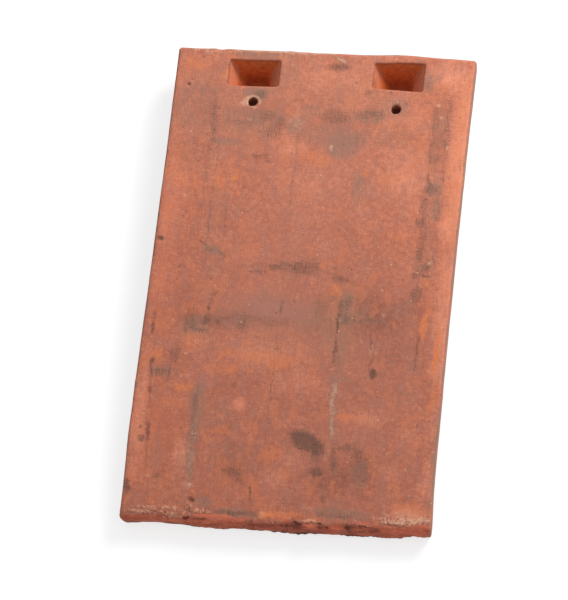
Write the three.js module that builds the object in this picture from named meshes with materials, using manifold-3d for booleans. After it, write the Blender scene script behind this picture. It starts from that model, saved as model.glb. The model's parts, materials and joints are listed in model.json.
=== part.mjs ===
// Clay plain roof tile, 265 x 165 mm, with two pressed nibs and two nail holes.
//
// The tile is one piece of fired clay: a slab set to a slight camber, rolled over at its tail, with two nibs
// under its head that hook over a roof batten. A punch makes each nib by driving clay down through the slab,
// so a tapered pocket opens in the weather face above it. The nail holes are punched from the weather face
// too, and break out in a shallow crater underneath.
//
// Every solid is shaped flat first, in a frame with x across the tile, y towards its head and z = 0 on the
// weather face. bendToCamber then lays it on the camber arc, as the green tile is set on a curved pallet
// before it is fired. Last, the tile is turned to lie as it does on level ground, on its nibs and its tail.
//
// Millimetres, +Z up. The origin is on the ground, under the middle of the tile.

import * as THREE from "three";
import { LoftGeometry } from "three/addons/geometries/LoftGeometry.js";
import { mergeVertices, toCreasedNormals } from "three/addons/utils/BufferGeometryUtils.js";
import Module from "manifold-3d";

// ---- slab ----
const tileLength = 265;
const tileWidth = 165;
const thickness = 13;
const camber = 4; // rise of the middle above the two ends
const sideDraft = 0.7; // how far each side leans in, from weather face to underside
const tailNoseRadius = 4; // weather face rolled over into the tail
const headArrisRadius = 1.6;
const sideArrisRadius = 2;
const lowerArrisRadius = 1;
const cornerRadius = 1.8; // the four corners, in plan

// ---- pockets: what the punch leaves in the weather face ----
const pocketSpacing = 80; // centre to centre
const pocketHeadMargin = 5.5; // clay between the mouth and the head
const pocketWidth = 28;
const pocketLength = 16; // along the tile
const pocketSideLean = 8; // how far each side wall leans in, from mouth to floor
const pocketHeadLean = 6.5;
const pocketTailLean = 2;
const pocketFloorRadius = 2;
const pocketMouthCorner = 1;
const pocketFloorCorner = 2.5;

// ---- nibs: the clay pushed down below the pockets ----
const nibDepth = 11.5; // below the underside
const nibFloor = 6; // clay left under the pocket
const nibSideWall = 2.5; // how far the root stands out past the mouth of the pocket
const nibHeadWall = 1.5;
const hookWall = 3.5;
const nibSideLean = 5; // how far the sides lean in, from root to tip
const nibHeadLean = 4.5;
const hookLean = 0.4;
const nibRootFillet = 1.5;
const nibTipRadius = 1.4;
const nibCorner = 3;

// ---- nail holes ----
const nailHoleSpacing = 79;
const nailHoleFromHook = 7; // below the hook face of the nib
const nailHoleRadius = 2.5;
const nailHoleWear = 0.4; // softened mouth, across and deep
const breakoutFlare = 2.5; // crater where the punch came through
const breakoutDepth = 2;

// ---- facets ----
const camberSteps = 26;
const noseSteps = 6;
const arrisSteps = 3;
const cornerSteps = 4;
const holeSteps = 28;

// ---- places that follow from these ----
const head = tileLength / 2;
const pocketHeadSide = head - pocketHeadMargin;
const pocketTailSide = pocketHeadSide - pocketLength;
const pocketDepth = thickness + nibDepth - nibFloor;
const hookFace = pocketTailSide - hookWall;
const nailHoleLine = hookFace - nailHoleFromHook;
const camberRadius = (head ** 2 + camber ** 2) / (2 * camber);
const quarterTurn = Math.PI / 2;
const cutterOvershoot = 2; // how far a cutter stands clear of the face that it enters
const sharpestCorner = 0.3;

// ---- outlines and rounding ----

// Outline of a polygon whose corners are rounded, each starting to curve at its own distance from the corner.
// It has equally many points whatever its size, so that outlines can be lofted into each other.
function roundedOutline(corners) {
  const outline = new THREE.Path();
  corners.forEach(({ x, y, radius }, i) => {
    const corner = new THREE.Vector2(x, y);
    const before = corners.at(i - 1);
    const after = corners[(i + 1) % corners.length];
    const entry = stepTowards(corner, before, radius);
    const exit = stepTowards(corner, after, radius);
    if (i === 0) outline.moveTo(entry.x, entry.y);
    else outline.lineTo(entry.x, entry.y);
    outline.quadraticCurveTo(corner.x, corner.y, exit.x, exit.y);
  });
  return outline.getPoints(cornerSteps);
}

function stepTowards(from, to, distance) {
  return new THREE.Vector2(to.x, to.y).sub(from).setLength(distance).add(from);
}

// How far a quarter-round has cut in from the side, at a distance from the end that it rounds.
function roundOver(radius, distance) {
  if (distance >= radius) return 0;
  return radius - Math.sqrt(radius ** 2 - (radius - distance) ** 2);
}

// Distances from a rounded end at which a quarter-round turns by equal angles.
function roundingStations(radius, steps) {
  return Array.from({ length: steps + 1 }, (_, k) => radius * (1 - Math.cos((k / steps) * quarterTurn)));
}

// ---- slab ----

// Cross-section at a distance from the nearer end, whose weather face is rolled over by endRadius.
// The loft runs towards +y, so its sections are seen from the head, with x running to the left.
function slabSection(y, distance, endRadius) {
  const top = -roundOver(endRadius, distance);
  const bottom = -thickness + roundOver(lowerArrisRadius, distance);
  const half = tileWidth / 2 - roundOver(cornerRadius, distance);
  const outline = roundedOutline([
    { x: -half, y: top, radius: sideArrisRadius },
    { x: -half + sideDraft, y: bottom, radius: lowerArrisRadius },
    { x: half - sideDraft, y: bottom, radius: lowerArrisRadius },
    { x: half, y: top, radius: sideArrisRadius },
  ]);
  return outline.map((p) => new THREE.Vector3(-p.x, y, p.y));
}

function slab() {
  const tailReach = Math.max(tailNoseRadius, lowerArrisRadius, cornerRadius);
  const headReach = Math.max(headArrisRadius, lowerArrisRadius, cornerRadius);
  const sections = [];
  for (const distance of roundingStations(tailReach, noseSteps)) {
    sections.push(slabSection(-head + distance, distance, tailNoseRadius));
  }
  for (let k = 1; k < camberSteps; k++) {
    const y = THREE.MathUtils.lerp(-head + tailReach, head - headReach, k / camberSteps);
    sections.push(slabSection(y, tileLength, 0));
  }
  for (const distance of roundingStations(headReach, arrisSteps).reverse()) {
    sections.push(slabSection(head - distance, distance, headArrisRadius));
  }
  return new LoftGeometry(sections, { capStart: true, capEnd: true });
}

// ---- nibs and pockets ----

// A nib and a pocket are each a block that tapers down from its root to its tip. Its sides are where they
// stand at the root, and its leans how far each has come in at the tip.
function taperedBlock({ top, depth, sides, leans, corners }) {
  return function section(below, margin = 0, z = top - below) {
    const share = below / depth;
    const left = sides.left + leans.left * share - margin;
    const right = sides.right - leans.right * share + margin;
    const tailSide = sides.tail + leans.tail * share - margin;
    const headSide = sides.head - leans.head * share + margin;
    const drawn = THREE.MathUtils.lerp(corners.root, corners.tip, THREE.MathUtils.clamp(share, 0, 1)) + margin;
    const largest = 0.45 * Math.min(right - left, headSide - tailSide);
    const radius = THREE.MathUtils.clamp(drawn, sharpestCorner, largest);
    const outline = roundedOutline([
      { x: left, y: tailSide, radius },
      { x: right, y: tailSide, radius },
      { x: right, y: headSide, radius },
      { x: left, y: headSide, radius },
    ]);
    return outline.map((p) => new THREE.Vector3(p.x, p.y, z));
  };
}

function nib(centre) {
  const half = pocketWidth / 2 + nibSideWall;
  const section = taperedBlock({
    top: -thickness,
    depth: nibDepth,
    sides: { left: centre - half, right: centre + half, tail: hookFace, head: pocketHeadSide + nibHeadWall },
    leans: { left: nibSideLean, right: nibSideLean, tail: hookLean, head: nibHeadLean },
    corners: { root: nibCorner, tip: nibCorner },
  });
  const tip = roundingStations(nibTipRadius, arrisSteps).map((distance) =>
    section(nibDepth - distance, -roundOver(nibTipRadius, distance)),
  );
  const root = roundingStations(nibRootFillet, arrisSteps)
    .reverse()
    .map((distance) => section(distance, roundOver(nibRootFillet, distance)));
  const insideSlab = section(0, nibRootFillet, -thickness / 2);
  return new LoftGeometry([...tip, ...root, insideSlab], { capStart: true, capEnd: true });
}

function pocket(centre) {
  const half = pocketWidth / 2;
  const section = taperedBlock({
    top: 0,
    depth: pocketDepth,
    sides: { left: centre - half, right: centre + half, tail: pocketTailSide, head: pocketHeadSide },
    leans: { left: pocketSideLean, right: pocketSideLean, tail: pocketTailLean, head: pocketHeadLean },
    corners: { root: pocketMouthCorner, tip: pocketFloorCorner },
  });
  const floor = roundingStations(pocketFloorRadius, arrisSteps).map((distance) =>
    section(pocketDepth - distance, -roundOver(pocketFloorRadius, distance)),
  );
  const mouth = [section(0), section(-cutterOvershoot)];
  return new LoftGeometry([...floor, ...mouth], { capStart: true, capEnd: true });
}

// ---- nail holes ----
function nailHole(centre) {
  const breakoutRadius = nailHoleRadius + breakoutFlare;
  const mouthRadius = nailHoleRadius + nailHoleWear;
  const profile = [
    [0, -thickness - cutterOvershoot],
    [breakoutRadius, -thickness - cutterOvershoot],
    [breakoutRadius, -thickness],
    [nailHoleRadius, -thickness + breakoutDepth],
    [nailHoleRadius, -nailHoleWear],
    [mouthRadius, 0],
    [mouthRadius, cutterOvershoot],
    [0, cutterOvershoot],
  ].map(([radius, z]) => new THREE.Vector2(radius, z));
  return new THREE.LatheGeometry(profile, holeSteps).rotateX(quarterTurn).translate(centre, nailHoleLine, 0);
}

// ---- camber ----

// Lays flat geometry on the camber arc. Lengths along y stay true on the weather face.
function bendToCamber(geometry) {
  const position = geometry.getAttribute("position");
  for (let i = 0; i < position.count; i++) {
    const angle = position.getY(i) / camberRadius;
    const reach = camberRadius + position.getZ(i);
    position.setY(i, reach * Math.sin(angle));
    position.setZ(i, reach * Math.cos(angle) - camberRadius);
  }
  return geometry;
}

// ---- joining and cutting ----
const wasm = await Module();
wasm.setup();

function solid(flatGeometry) {
  const geometry = new THREE.BufferGeometry().copy(bendToCamber(flatGeometry));
  geometry.deleteAttribute("normal");
  geometry.deleteAttribute("uv");
  const merged = mergeVertices(geometry, 1e-4);
  const vertProperties = merged.getAttribute("position").array;
  const triVerts = new Uint32Array(merged.index.array);
  return new wasm.Manifold(new wasm.Mesh({ numProp: 3, vertProperties, triVerts }));
}

function geometryOf(manifold) {
  const { vertProperties, triVerts } = manifold.getMesh();
  const geometry = new THREE.BufferGeometry();
  geometry.setAttribute("position", new THREE.BufferAttribute(vertProperties, 3));
  geometry.setIndex(new THREE.BufferAttribute(triVerts, 1));
  return toCreasedNormals(geometry, THREE.MathUtils.degToRad(35));
}

function tileGeometry() {
  let body = solid(slab());
  for (const side of [-1, 1]) {
    body = body.add(solid(nib((side * pocketSpacing) / 2)));
  }
  for (const side of [-1, 1]) {
    body = body.subtract(solid(pocket((side * pocketSpacing) / 2)));
    body = body.subtract(solid(nailHole((side * nailHoleSpacing) / 2)));
  }
  return geometryOf(body);
}

// ---- lying on level ground ----

// The turn about x at which the tips of the nibs and the tail touch the ground together. It is found by
// turning the tile down onto its lowest points until these stay the same.
function restingTurn(geometry) {
  const position = geometry.getAttribute("position");
  const point = new THREE.Vector3();
  let turn = 0;
  for (let pass = 0; pass < 6; pass++) {
    const lowest = { nibs: null, tail: null };
    for (let i = 0; i < position.count; i++) {
      point.fromBufferAttribute(position, i);
      const end = point.y > 0 ? "nibs" : "tail";
      const height = point.y * Math.sin(turn) + point.z * Math.cos(turn);
      if (!lowest[end] || height < lowest[end].height) lowest[end] = { height, y: point.y, z: point.z };
    }
    turn = Math.atan2(lowest.tail.z - lowest.nibs.z, lowest.nibs.y - lowest.tail.y);
  }
  return turn;
}

const firedClay = new THREE.MeshStandardMaterial({ color: 0xb9694c, roughness: 0.88, metalness: 0 });

const tile = new THREE.Mesh(tileGeometry(), firedClay);
tile.name = "clay_tile";
tile.rotation.x = restingTurn(tile.geometry);

const extent = new THREE.Box3().setFromObject(tile, true);
tile.position.y = -(extent.min.y + extent.max.y) / 2;
tile.position.z = -extent.min.z;

const part = new THREE.Group();
part.name = "clay_plain_roof_tile";
part.add(tile);

export default part;
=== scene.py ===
# %% [markdown]
# # An old plain clay roof tile
#
# A plain tile is one slab of clay, pressed or wire-cut, dried on a curved pallet and fired. This one has
# been on a roof for years, so it is worth more attention than its simple shape suggests: its edges are
# chipped, its tail is ragged, and its face carries soot, lichen and lime.
#
# The CAD model gives the true shape and size. It is loaded first and stays as it is. The weathered tile
# that is shown is grown from a copy of it, so that it always fits the frame.

# %% Load the frame
import json
import math
import random

import bmesh
import bpy
import numpy as np
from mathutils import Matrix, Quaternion, Vector, noise


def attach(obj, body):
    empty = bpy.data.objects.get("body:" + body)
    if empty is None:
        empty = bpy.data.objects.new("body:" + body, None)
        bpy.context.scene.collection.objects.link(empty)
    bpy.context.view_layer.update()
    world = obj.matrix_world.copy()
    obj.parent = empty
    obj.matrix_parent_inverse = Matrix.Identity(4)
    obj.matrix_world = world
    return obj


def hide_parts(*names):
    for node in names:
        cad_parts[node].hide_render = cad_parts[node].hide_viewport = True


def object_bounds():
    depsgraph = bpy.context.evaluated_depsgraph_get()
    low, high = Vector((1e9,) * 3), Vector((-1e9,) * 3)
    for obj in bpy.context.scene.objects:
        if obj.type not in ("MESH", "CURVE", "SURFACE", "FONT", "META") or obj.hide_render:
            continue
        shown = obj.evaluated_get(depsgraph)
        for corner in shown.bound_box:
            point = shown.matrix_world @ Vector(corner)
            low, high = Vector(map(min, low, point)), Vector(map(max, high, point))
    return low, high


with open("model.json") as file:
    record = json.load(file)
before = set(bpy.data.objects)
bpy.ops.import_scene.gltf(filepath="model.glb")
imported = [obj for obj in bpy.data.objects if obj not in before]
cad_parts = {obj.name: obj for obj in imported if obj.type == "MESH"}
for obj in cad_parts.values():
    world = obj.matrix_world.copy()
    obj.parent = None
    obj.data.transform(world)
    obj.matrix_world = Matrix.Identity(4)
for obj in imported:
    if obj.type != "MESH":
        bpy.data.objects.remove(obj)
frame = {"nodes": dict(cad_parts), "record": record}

mm = 0.001  # every length in the file is in metres, or in mm times this
cad_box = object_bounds()
print("CAD box in mm:", [round((high - low) / mm, 1) for low, high in zip(*cad_box)])

# %% [markdown]
# ## Where to look from
#
# A tile lying on the floor shows its weather face best from above. A long lens from far away keeps its
# sides nearly parallel. The camera is aimed with a quaternion: `to_track_quat` points its -Z axis at the
# tile, and a second turn about that axis rolls the view, so that the tile stands in it leaning a little.

# %% Camera
camera_azimuth = math.radians(26.6)
camera_elevation = math.radians(69.0)
camera_roll = math.radians(-21.1)
camera_distance = 1.711
camera_target = Vector((-0.0088, -0.0072, 0.012))
camera_lens = 192  # mm, on a 36 mm sensor
view_axis = (0, 0, 1)


def direction(azimuth, elevation):
    """Direction from the tile at that azimuth, which is 0 on the tail's side, and that elevation."""
    level = math.cos(elevation)
    return Vector((math.sin(azimuth) * level, -math.cos(azimuth) * level, math.sin(elevation)))


towards_camera = direction(camera_azimuth, camera_elevation)
camera = bpy.data.objects.new("studio_camera", bpy.data.cameras.new("studio_camera"))
camera.data.lens = camera_lens
camera.location = camera_target + camera_distance * towards_camera
camera.rotation_mode = "QUATERNION"
aim = (-towards_camera).to_track_quat("-Z", "Y")
camera.rotation_quaternion = aim @ Quaternion(view_axis, camera_roll)
bpy.context.scene.collection.objects.link(camera)
bpy.context.scene.camera = camera
bpy.context.scene.view_settings.view_transform = "Standard"
print("camera at", [round(value, 3) for value in camera.location])

# %% [markdown]
# ## Nodes in few words
#
# Every finish here is a node tree. Four small helpers keep the recipes readable: one adds a node and
# plugs in its inputs, one does arithmetic, one mixes two colours, and one turns a colour of a screen into
# linear light. An input that is a socket gets a link, and anything else becomes its value.

# %% Node helpers
def add(tree, kind, inputs=None, **settings):
    """Adds a node of that kind, sets its settings, and fills its inputs by name or number."""
    node = tree.nodes.new(kind)
    for name, value in settings.items():
        setattr(node, name, value)
    for name, value in (inputs or {}).items():
        if isinstance(value, bpy.types.NodeSocket):
            tree.links.new(value, node.inputs[name])
        else:
            node.inputs[name].default_value = value
    return node


def arithmetic(tree, operation, *values, clamp=False):
    """One Math node over up to three values."""
    node = add(tree, "ShaderNodeMath", dict(enumerate(values)), operation=operation, use_clamp=clamp)
    return node.outputs[0]


def mix_colours(tree, share, under, over):
    """The colour `under`, covered by `over` as far as `share` says."""
    inputs = {"Factor": share, 6: under, 7: over}
    return add(tree, "ShaderNodeMix", inputs, data_type="RGBA", clamp_factor=True).outputs[2]


def colour(red, green, blue):
    """A colour as it shows on a screen, 0 to 255, turned into the linear values that a node takes."""
    linear = [((c / 255 + 0.055) / 1.055) ** 2.4 if c > 10 else c / 255 / 12.92 for c in (red, green, blue)]
    return (*linear, 1.0)


print("a mid grey is", round(colour(128, 128, 128)[0], 3), "in linear light")

# %% [markdown]
# ## Floor and light
#
# The studio is plain: a pale floor, a pale sky all round, and one large softbox high behind the tile's
# right shoulder. The softbox stands close, so the head of the tile is a little brighter than its tail,
# and the tail's own face is in half shade.
#
# The floor has to look white to the camera without throwing more light on the tile. Light Path tells the
# two apart: only rays from the camera, or ones reflected by something glossy, also see a glow on the
# floor.

# %% Floor
floor_half_width = 4.0
floor_tone = (0.8, 0.79, 0.78, 1.0)
seen_tone = (0.45, 0.45, 0.45, 1.0)  # what the camera sees of it, so that the shadow stays light
floor_glow = 0.68
white_light = (1, 1, 1, 1)


def seen_directly(tree):
    """1 for rays that come from the camera or by way of a glossy or clear surface, otherwise 0."""
    path = add(tree, "ShaderNodeLightPath")
    camera_ray, glossy_ray = path.outputs["Is Camera Ray"], path.outputs["Is Glossy Ray"]
    camera_or_gloss = arithmetic(tree, "MAXIMUM", camera_ray, glossy_ray)
    return arithmetic(tree, "MAXIMUM", camera_or_gloss, path.outputs["Is Transmission Ray"])


floor_mesh = bpy.data.meshes.new("studio_floor")
shape = bmesh.new()
bmesh.ops.create_grid(shape, x_segments=1, y_segments=1, size=floor_half_width)
shape.to_mesh(floor_mesh)
shape.free()
floor = bpy.data.objects.new("studio_floor", floor_mesh)
bpy.context.scene.collection.objects.link(floor)

paper = bpy.data.materials.new("white_paper")
paper.use_nodes = True
tree = paper.node_tree
tree.nodes.clear()
seen = seen_directly(tree)
matt = add(tree, "ShaderNodeBsdfDiffuse", {"Color": mix_colours(tree, seen, floor_tone, seen_tone)})
glow_strength = arithmetic(tree, "MULTIPLY", seen, floor_glow)
glow = add(tree, "ShaderNodeEmission", {"Color": white_light, "Strength": glow_strength})
both = add(tree, "ShaderNodeAddShader", {0: matt.outputs[0], 1: glow.outputs[0]})
add(tree, "ShaderNodeOutputMaterial", {"Surface": both.outputs[0]})
floor_mesh.materials.append(paper)
print("floor", 2 * floor_half_width, "m wide, at z = 0")

# %% Light
sky_strength = 0.52
key_share = 0.5  # how much of a level surface's light comes from the softbox
key_direction = Vector((0.65, 0.95, 0.85)).normalized()
key_distance = 1.25
key_size = 0.55
sky_tint, key_tint = (0.97, 0.985, 1.0, 1.0), (1.0, 0.975, 0.94)

sky = bpy.data.worlds.new("pale_sky")
sky.use_nodes = True
tree = sky.node_tree
tree.nodes.clear()
dome = add(tree, "ShaderNodeBackground", {"Color": sky_tint, "Strength": sky_strength})
white = add(tree, "ShaderNodeBackground", {"Color": white_light, "Strength": 1.0})
choice = add(tree, "ShaderNodeMixShader", {0: seen_directly(tree), 1: dome.outputs[0], 2: white.outputs[0]})
add(tree, "ShaderNodeOutputWorld", {"Surface": choice.outputs[0]})
bpy.context.scene.world = sky

softbox = bpy.data.objects.new("softbox", bpy.data.lights.new("softbox", "AREA"))
softbox.data.shape = "SQUARE"
softbox.data.size = key_size
softbox.data.color = key_tint
softbox.data.energy = key_share * math.pi**2 * key_distance**2 / key_direction.z
softbox.location = key_distance * key_direction
softbox.rotation_mode = "QUATERNION"
softbox.rotation_quaternion = (-key_direction).to_track_quat("-Z", "Y")
bpy.context.scene.collection.objects.link(softbox)
print("softbox", round(softbox.data.energy, 1), "W")

# %% [markdown]
# ## A worn tile from a sharp one
#
# The CAD mesh is a shell of loose triangles, so its corners are merged first. It stays sharp and perfect,
# and an old tile is neither. Real wear is of two kinds: pieces that broke away, and a skin that was never
# quite flat.
#
# The broken places are cut with Boolean modifiers. Each cutter is an icosphere pushed in and out by
# noise, which leaves the shell-shaped scar of broken clay. A voxel Remesh then turns the whole body into
# small even faces, rounds every arris by about one voxel, and leaves a skin that can be worked like clay.

# %% Merge a copy of the CAD mesh
merge_distance = 0.001 * mm


def merged_copy(node_name, name):
    """A new object with the CAD node's shape, its loose triangles joined into one skin."""
    mesh = frame["nodes"][node_name].data.copy()
    mesh.materials.clear()
    shape = bmesh.new()
    shape.from_mesh(mesh)
    bmesh.ops.remove_doubles(shape, verts=shape.verts, dist=merge_distance)
    open_edges = sum(not edge.is_manifold for edge in shape.edges)
    shape.to_mesh(mesh)
    shape.free()
    piece = bpy.data.objects.new(name, mesh)
    bpy.context.scene.collection.objects.link(piece)
    print(name, "starts with", len(mesh.vertices), "corners and", open_edges, "open edges")
    return piece


tile = merged_copy("clay_tile", "weathered_tile")

# %% Measure the tile
height_stations = 40
station_margin = 5 * mm  # the arrises at the two ends are left out
ray_start = 0.1  # well above the tile
tail_y, head_y = cad_box[0].y, cad_box[1].y


def weather_face_height(y):
    """Height of the weather face along the middle of the tile, by dropping a ray on it."""
    _, place, _, _ = tile.ray_cast(Vector((0, y, ray_start)), Vector((0, 0, -1)))
    return place.z


station_y = np.linspace(tail_y + station_margin, head_y - station_margin, height_stations)
station_z = np.array([weather_face_height(y) for y in station_y])
print("weather face rises to", round(station_z.max() / mm, 1), "mm")

# %% Cut the broken places
chip_roughness, chip_bump_size = 0.35, 1.3
# name, place in mm (x, y, height), half size in mm (x, y, height), seed
chips = [
    ("head_nick_left", (-59.0, 132.6, 24.0), (2.6, 1.5, 3.0), 1),
    ("head_nick_middle", (-21.5, 133.4, 24.5), (2.0, 1.4, 2.4), 2),
    ("tail_corner_left", (-84.5, -134.5, 15.0), (5.0, 4.5, 9.0), 3),
    ("tail_corner_right", (84.5, -136.0, 0.5), (9.0, 4.5, 3.5), 4),
    ("tail_notch", (-46.0, -133.5, 13.0), (2.6, 2.2, 3.2), 5),
    ("tail_dent_middle", (11.5, -134.6, 9.5), (4.2, 2.6, 3.0), 6),
    ("tail_dent_right", (40.0, -134.2, 9.0), (2.6, 2.4, 3.6), 7),
]


def chip_cutter(name, place, half_size, seed):
    """An icosphere roughened by noise, the shape of the scar where clay broke away."""
    shape = bmesh.new()
    bmesh.ops.create_icosphere(shape, subdivisions=4, radius=1.0)
    for corner in shape.verts:
        bump = noise.fractal(corner.co * chip_bump_size + Vector((seed * 7.1, 0, 0)), 1.0, 2.0, 4)
        corner.co *= 1.0 + chip_roughness * bump
    bmesh.ops.scale(shape, vec=Vector(half_size) * mm, verts=shape.verts)
    bmesh.ops.translate(shape, vec=Vector(place) * mm, verts=shape.verts)
    mesh = bpy.data.meshes.new(name)
    shape.to_mesh(mesh)
    shape.free()
    cutter = bpy.data.objects.new(name, mesh)
    bpy.context.scene.collection.objects.link(cutter)
    return cutter


cutters = [chip_cutter(*chip) for chip in chips]
for cutter in cutters:
    cut = tile.modifiers.new(cutter.name, "BOOLEAN")
    cut.operation = "DIFFERENCE"
    cut.solver = "EXACT"
    cut.object = cutter
print(len(cutters), "chips")

# %% Remesh the body
voxel = 0.55 * mm


def bake_modifiers(piece):
    """Replaces the piece's mesh by what its modifiers make of it."""
    evaluated = piece.evaluated_get(bpy.context.evaluated_depsgraph_get())
    mesh = bpy.data.meshes.new_from_object(evaluated)
    piece.modifiers.clear()
    piece.data = mesh


remesh = tile.modifiers.new("even_skin", "REMESH")
remesh.mode = "VOXEL"
remesh.voxel_size = voxel
remesh.use_smooth_shade = True
bake_modifiers(tile)
for cutter in cutters:
    bpy.data.objects.remove(cutter)
print("remeshed to", len(tile.data.vertices), "corners")

# %% [markdown]
# ## Know where each point is
#
# Clay looks different on each side of a tile. The weather face was smoothed and then rained on for years,
# the pockets were pressed by a steel punch and are clean inside, and the underside lay on sand. So every
# point of the skin first gets a number from 0 to 1 for each of these places. The shape uses them now, and
# the finish reads them later as attributes of the mesh.

# %% Read the skin
def read_vectors(collection, name):
    """One row of three numbers for each point of the mesh."""
    values = np.empty(3 * len(collection), np.float32)
    collection.foreach_get(name, values)
    return values.reshape(-1, 3).astype(float)


def smooth_step(value, low, high):
    """0 below `low`, 1 above `high`, and a smooth curve between them."""
    share = np.clip((value - low) / (high - low), 0, 1)
    return share * share * (3 - 2 * share)


points = read_vectors(tile.data.vertices, "co") / mm
normals = read_vectors(tile.data.vertex_normals, "vector")
depth = np.interp(points[:, 1] * mm, station_y, station_z) / mm - points[:, 2]
print("deepest point lies", round(depth.max(), 1), "mm below the weather face")

# %% Tell the places apart
pocket_margin = 4.5
near_side, near_end = 76, 127.5  # mm from the middle: an arris lies beyond one of them
nail_holes = [Vector((-39.5, 100.1)), Vector((39.5, 100.1))]
nail_hole_reach = 2.9
# how far down the worn skin runs over the left and the right wall of each pocket, in mm
worn_left, worn_right = 7.5, 11.0


def box_of(opening_name):
    """The lowest and highest corner of an opening of the record, in mm."""
    boxes = {o["name"]: o["box_m"] for o in frame["record"]["physics"]["openings"]}
    return np.array(boxes[opening_name]) / mm


def inside_plan(low, high, margin):
    """1 for points over a rectangle in plan, grown by a margin."""
    over_x = (points[:, 0] > low[0] - margin) & (points[:, 0] < high[0] + margin)
    over_y = (points[:, 1] > low[1] - margin) & (points[:, 1] < high[1] + margin)
    return over_x & over_y


pocket, pocket_clay = np.zeros(len(points)), np.zeros(len(points))
lip = worn_left * smooth_step(normals[:, 0], 0.2, 0.5) + worn_right * smooth_step(-normals[:, 0], 0.2, 0.5)
for side in ("left", "right"):
    low, high = box_of(side + "_pocket_mouth")
    walls = inside_plan(low, high, pocket_margin) & (normals[:, 2] > -0.05)
    pocket = np.maximum(pocket, walls * smooth_step(depth, 0.5, 1.5))
    pocket_clay = np.maximum(pocket_clay, walls * smooth_step(depth - lip, 0.3, 1.6))

bore = np.zeros(len(points))
for hole in nail_holes:
    reach = np.hypot(points[:, 0] - hole.x, points[:, 1] - hole.y)
    bore = np.maximum(bore, (reach < nail_hole_reach) * smooth_step(depth, 0.3, 1.0))

weather = smooth_step(normals[:, 2], 0.6, 0.95) * (1 - smooth_step(depth, 1.0, 2.5))
nib_walls = smooth_step(depth, 13.4, 14.6) * (1 - pocket) * (1 - bore)
under = np.maximum(smooth_step(-normals[:, 2], 0.1, 0.6) * (depth > 5), nib_walls)
near_edge = (np.abs(points[:, 0]) > near_side) | (np.abs(points[:, 1]) > near_end)
arris = smooth_step(1 - np.abs(normals).max(axis=1), 0.05, 0.25) * (1 - pocket) * near_edge
tail = smooth_step(-normals[:, 1], 0.4, 0.9) * (points[:, 1] < tail_y / mm + 9)
side = smooth_step(np.abs(normals[:, 0]), 0.5, 0.9) * (np.abs(points[:, 0]) > 78)
side = np.maximum(side, smooth_step(normals[:, 1], 0.5, 0.9) * (points[:, 1] > head_y / mm - 4))
shares = {"weather": weather, "under": under, "pocket": pocket, "bore": bore, "tail": tail, "side": side}
print("shares:", {name: round(float(part.mean()), 3) for name, part in shares.items()})

# %% [markdown]
# ## The skin of fired clay
#
# All relief is pushed along the surface's own normals, in millimetres. Each layer is one habit of the
# material: the slab dries in long shallow waves, the die and the smoothing bar drag fine ridges down its
# length, small stones pop out and leave pits, and the arrises crumble. Perlin noise makes all of them.
# Its size may differ along x, y and z, and a long size along y turns noise into drag lines.

# %% Relief helpers
def clay_noise(size, seed, octaves=1):
    """Noise at every point, from about -1 to 1. Its size is one length in mm, or one along each axis."""
    scaled = (points / np.array(size) + 13.7 * seed).tolist()
    if octaves == 1:
        return np.array([noise.noise(place) for place in scaled])
    return np.array([noise.fractal(place, 1.0, 2.0, octaves) for place in scaled])


def ellipse_reach(across, along, half_across, half_along, turn):
    """How far out each point lies in an ellipse turned by so many degrees: 0 is its middle, 1 its rim."""
    turned = math.radians(turn)
    u = (across * math.cos(turned) + along * math.sin(turned)) / half_across
    v = (along * math.cos(turned) - across * math.sin(turned)) / half_along
    return np.hypot(u, v)


relief = np.zeros(len(points))  # mm outwards, along the normal
print("a relief of 0 at", len(relief), "points")

# %% Waves, drag lines and grain
skin = 1 - pocket
relief += 0.16 * clay_noise(42, seed=1) * skin
relief += 0.07 * clay_noise(9, seed=2, octaves=3) * skin
relief += 0.05 * clay_noise((1.6, 45, 12), seed=3) * weather
relief += 0.05 * clay_noise(1.7, seed=4, octaves=2) * (weather + pocket)
print("relief so far", round(relief.min(), 2), "to", round(relief.max(), 2), "mm")

# %% Underside and sides
relief += 0.16 * clay_noise(1.8, seed=5, octaves=3) * under
relief += 0.20 * clay_noise((5, 34, 9), seed=6) * under
relief += 0.10 * clay_noise((6, 16, 1.4), seed=12, octaves=2) * side
crumbs = np.maximum(0, clay_noise(3.2, seed=9, octaves=3) - 0.12)
relief -= 0.9 * crumbs * arris
relief -= 0.25 * arris * (clay_noise(11, seed=10) + 0.6)
print("relief with edges", round(relief.min(), 2), "to", round(relief.max(), 2), "mm")
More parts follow.
